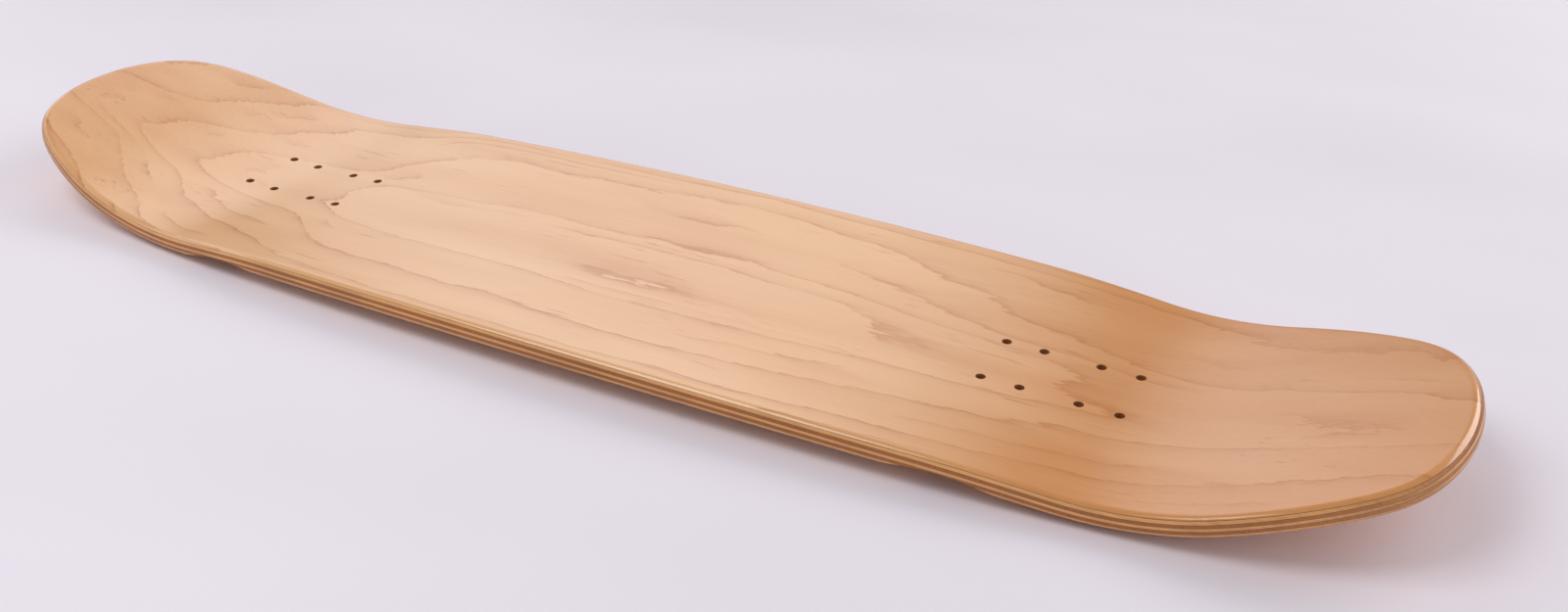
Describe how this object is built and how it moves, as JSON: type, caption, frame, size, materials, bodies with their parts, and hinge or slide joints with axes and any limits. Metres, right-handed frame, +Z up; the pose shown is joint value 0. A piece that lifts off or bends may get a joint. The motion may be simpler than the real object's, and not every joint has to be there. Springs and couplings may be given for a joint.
{
  "type": "skateboard deck",
  "caption": "Double-kick maple skateboard deck with concave, slight camber, rounded rims, wheel wells and two truck-hole patterns at each end",
  "frame": {"origin": "on the surface that the belly rests on, under the middle of the overall length and width", "axes": "+X along the deck to the nose, +Y across to the left rail, +Z up through the standing surface"},
  "size_m": [0.9257, 0.235, 0.0553],
  "materials": {
    "top_veneer": "satin lacquer",
    "bottom_veneer": "satin lacquer",
    "core_veneer": "lacquered edge",
    "cross_veneer": "lacquered end grain",
    "glue": "cured adhesive"
  },
  "bodies": {
    "root": {"top_face_ply": "top_veneer", "glue_line_1": "glue", "upper_long_ply": "core_veneer", "glue_line_2": "glue", "upper_cross_ply": "cross_veneer", "glue_line_3": "glue", "centre_ply": "core_veneer", "glue_line_4": "glue", "lower_cross_ply": "cross_veneer", "glue_line_5": "glue", "lower_long_ply": "core_veneer", "glue_line_6": "glue", "bottom_face_ply": "bottom_veneer"}
  },
  "joints": []
}
